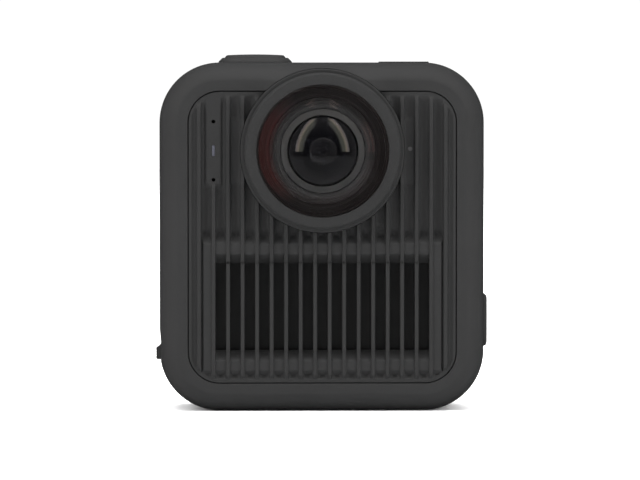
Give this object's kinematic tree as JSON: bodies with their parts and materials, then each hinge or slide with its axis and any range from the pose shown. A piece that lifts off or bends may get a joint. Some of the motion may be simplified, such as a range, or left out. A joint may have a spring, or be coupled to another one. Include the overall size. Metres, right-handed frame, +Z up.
{
  "type": "action camera",
  "caption": "Compact two-lens action camera with a finned front panel, rear touch screen, side door, push buttons and folding mounting fingers.",
  "frame": {"origin": "on the resting surface under the middle of the whole object", "axes": "+Z up, -Y out of the finned front with the vent window, +Y out of the touch screen"},
  "size_m": [0.0651, 0.0488, 0.0694],
  "materials": {
    "body_shell": "fine matte texture",
    "finned_panel": "fine matte texture",
    "lens_cover_ring": "fine matte texture",
    "button_plastic": "fine matte texture",
    "finger_plastic": "satin",
    "black_plastic": "matte",
    "black_anodised": "black anodised",
    "grey_anodised": "dark anodised",
    "seal_rubber": "matte",
    "dome_glass": "coated, polished",
    "element_glass": "coated, polished",
    "screen_glass": "polished",
    "display": "polished",
    "steel": "satin",
    "brass": "machined",
    "circuit_board": "satin",
    "flex_film": "satin",
    "battery_wrap": "satin",
    "light_guide": "frosted",
    "index_ink": "matte",
    "thermal_pad": "soft"
  },
  "bodies": {
    "camera_body": {"housing": "body_shell", "front_panel": "finned_panel", "front_panel_seal": "seal_rubber", "heat_spreader": "black_anodised", "rear_panel": "body_shell", "rear_panel_seal": "seal_rubber", "chassis": "grey_anodised", "touch_glass": "screen_glass", "display_module": "display", "top_mic_cover": "body_shell", "front_lens_mount": "lens_cover_ring", "front_lens_barrel": "black_plastic", "front_lens_retainer": "grey_anodised", "front_lens_element": "element_glass", "front_inner_lenses": "element_glass", "front_image_sensor": "circuit_board", "rear_lens_mount": "lens_cover_ring", "rear_lens_barrel": "black_plastic", "rear_lens_retainer": "grey_anodised", "rear_lens_element": "element_glass", "rear_inner_lenses": "element_glass", "rear_image_sensor": "circuit_board", "door_hinge_pin": "steel", "battery": "battery_wrap", "battery_contacts": "brass", "usb_port": "steel", "card_slot": "steel", "memory_card": "black_plastic", "shutter_bezel": "button_plastic", "shutter_switch": "black_plastic", "mode_switch": "black_plastic", "status_light": "light_guide", "index_dots": "index_ink", "front_microphones": "steel", "speaker": "black_plastic", "main_board": "circuit_board", "board_screws": "steel", "thermal_pad": "thermal_pad", "sensor_flexes": "flex_film", "antenna": "flex_film", "finger_pins": "steel", "mount_tray": "grey_anodised", "tripod_insert": "brass", "tray_screws": "steel"},
    "front_lens_cover": {"front_lens_collar": "lens_cover_ring", "front_lens_dome": "dome_glass", "front_lens_seal": "seal_rubber"},
    "rear_lens_cover": {"rear_lens_collar": "lens_cover_ring", "rear_lens_dome": "dome_glass", "rear_lens_seal": "seal_rubber"},
    "door": {"side_door": "body_shell", "side_door_seal": "seal_rubber", "latch_springs": "steel"},
    "latch": {"door_latch": "button_plastic"},
    "shutter": {"shutter_button": "button_plastic"},
    "mode_key": {"mode_button": "button_plastic"},
    "left_mount_finger": {"left_finger": "finger_plastic"},
    "right_mount_finger": {"right_finger": "finger_plastic"}
  },
  "joints": [
    {"name": "front_lens_twist", "type": "hinge", "parent": "camera_body", "child": "front_lens_cover", "pos_m": [0, -0.0162, 0.0507], "axis": [0, -1, 0], "range_deg": [0, 40]},
    {"name": "rear_lens_twist", "type": "hinge", "parent": "camera_body", "child": "rear_lens_cover", "pos_m": [0, 0.0162, 0.0507], "axis": [0, 1, 0], "range_deg": [0, 40]},
    {"name": "door_hinge", "type": "hinge", "parent": "camera_body", "child": "door", "pos_m": [-0.0304, 0, 0.044], "axis": [0, 1, 0], "range_deg": [0, 85]},
    {"name": "latch_slide", "type": "slide", "parent": "door", "child": "latch", "axis": [0, 0, 1], "range_m": [0, 0.0016], "stiffness_N_per_m": 400, "springref_m": -0.0015, "deforming": ["latch_springs"]},
    {"name": "shutter_press", "type": "slide", "parent": "camera_body", "child": "shutter", "axis": [0, 0, -1], "range_m": [0, 0.0006], "stiffness_N_per_m": 1500, "springref_m": -0.0005},
    {"name": "mode_press", "type": "slide", "parent": "camera_body", "child": "mode_key", "axis": [-1, 0, 0], "range_m": [0, 0.0005], "stiffness_N_per_m": 1500, "springref_m": -0.0005},
    {"name": "left_finger_fold", "type": "hinge", "parent": "camera_body", "child": "left_mount_finger", "pos_m": [-0.0031, 0, 0.0017], "axis": [0, -1, 0], "range_deg": [0, 90]},
    {"name": "right_finger_fold", "type": "hinge", "parent": "camera_body", "child": "right_mount_finger", "pos_m": [0.0031, 0, 0.0017], "axis": [0, 1, 0], "range_deg": [0, 90]}
  ]
}
